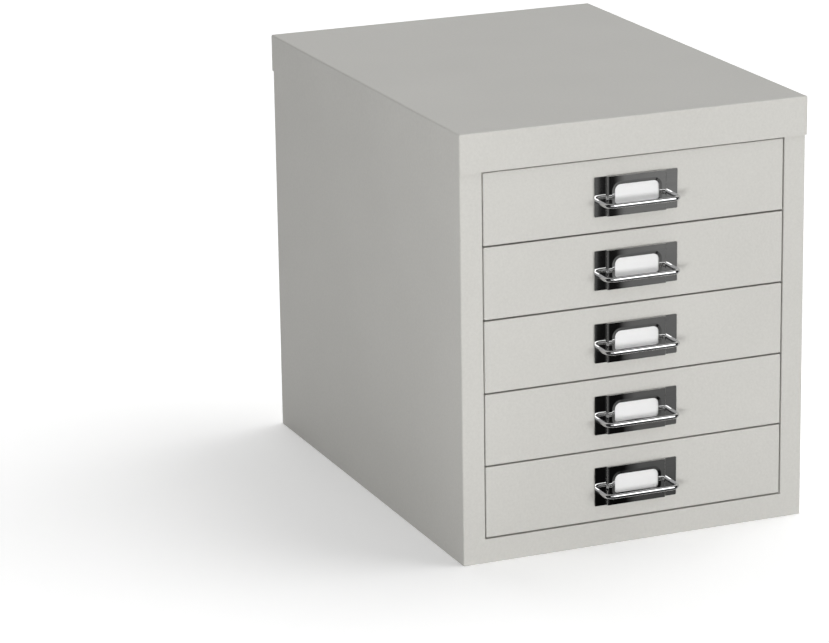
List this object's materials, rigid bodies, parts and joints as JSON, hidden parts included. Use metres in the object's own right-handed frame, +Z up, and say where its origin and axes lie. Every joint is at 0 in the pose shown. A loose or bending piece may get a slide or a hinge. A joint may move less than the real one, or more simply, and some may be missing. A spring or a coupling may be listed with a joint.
{
  "type": "desktop drawer cabinet",
  "caption": "Small painted sheet-metal cabinet for a desktop, with shallow drawers that slide out on channels, each with a bright label plate and a wire bail.",
  "frame": {"origin": "on the floor, under the middle of the top cap's outline", "axes": "+X right as seen from the front, +Y to the back (the drawers slide out along -Y), +Z up"},
  "size_m": [0.279, 0.3948, 0.325],
  "materials": {
    "cabinet_paint": "pale warm grey powder coat, fine satin grain",
    "tray_paint": "pale warm grey powder coat, a little flatter than the outside",
    "runner_steel": "zinc-coated sheet",
    "plate_chrome": "mirror-bright plating",
    "bail_chrome": "mirror-bright plating",
    "label_card": "blank white card"
  },
  "bodies": {
    "cabinet": {"side_panel_left": "cabinet_paint", "side_panel_right": "cabinet_paint", "back_panel": "cabinet_paint", "base_pan": "cabinet_paint", "bottom_rail": "cabinet_paint", "top_rail": "cabinet_paint", "top_cap": "cabinet_paint", "runner_left_1": "runner_steel", "runner_left_2": "runner_steel", "runner_left_3": "runner_steel", "runner_left_4": "runner_steel", "runner_left_5": "runner_steel", "runner_right_1": "runner_steel", "runner_right_2": "runner_steel", "runner_right_3": "runner_steel", "runner_right_4": "runner_steel", "runner_right_5": "runner_steel"},
    "drawer_1": {"drawer_tray_1": "tray_paint", "drawer_front_1": "cabinet_paint", "handle_plate_1": "plate_chrome", "label_card_1": "label_card", "handle_bail_1": "bail_chrome"},
    "drawer_2": {"drawer_tray_2": "tray_paint", "drawer_front_2": "cabinet_paint", "handle_plate_2": "plate_chrome", "label_card_2": "label_card", "handle_bail_2": "bail_chrome"},
    "drawer_3": {"drawer_tray_3": "tray_paint", "drawer_front_3": "cabinet_paint", "handle_plate_3": "plate_chrome", "label_card_3": "label_card", "handle_bail_3": "bail_chrome"},
    "drawer_4": {"drawer_tray_4": "tray_paint", "drawer_front_4": "cabinet_paint", "handle_plate_4": "plate_chrome", "label_card_4": "label_card", "handle_bail_4": "bail_chrome"},
    "drawer_5": {"drawer_tray_5": "tray_paint", "drawer_front_5": "cabinet_paint", "handle_plate_5": "plate_chrome", "label_card_5": "label_card", "handle_bail_5": "bail_chrome"}
  },
  "joints": [
    {"name": "drawer_1_slide", "type": "slide", "parent": "cabinet", "child": "drawer_1", "axis": [0, -1, 0], "range_m": [0, 0.285]},
    {"name": "drawer_2_slide", "type": "slide", "parent": "cabinet", "child": "drawer_2", "axis": [0, -1, 0], "range_m": [0, 0.285]},
    {"name": "drawer_3_slide", "type": "slide", "parent": "cabinet", "child": "drawer_3", "axis": [0, -1, 0], "range_m": [0, 0.285]},
    {"name": "drawer_4_slide", "type": "slide", "parent": "cabinet", "child": "drawer_4", "axis": [0, -1, 0], "range_m": [0, 0.285]},
    {"name": "drawer_5_slide", "type": "slide", "parent": "cabinet", "child": "drawer_5", "axis": [0, -1, 0], "range_m": [0, 0.285]}
  ]
}
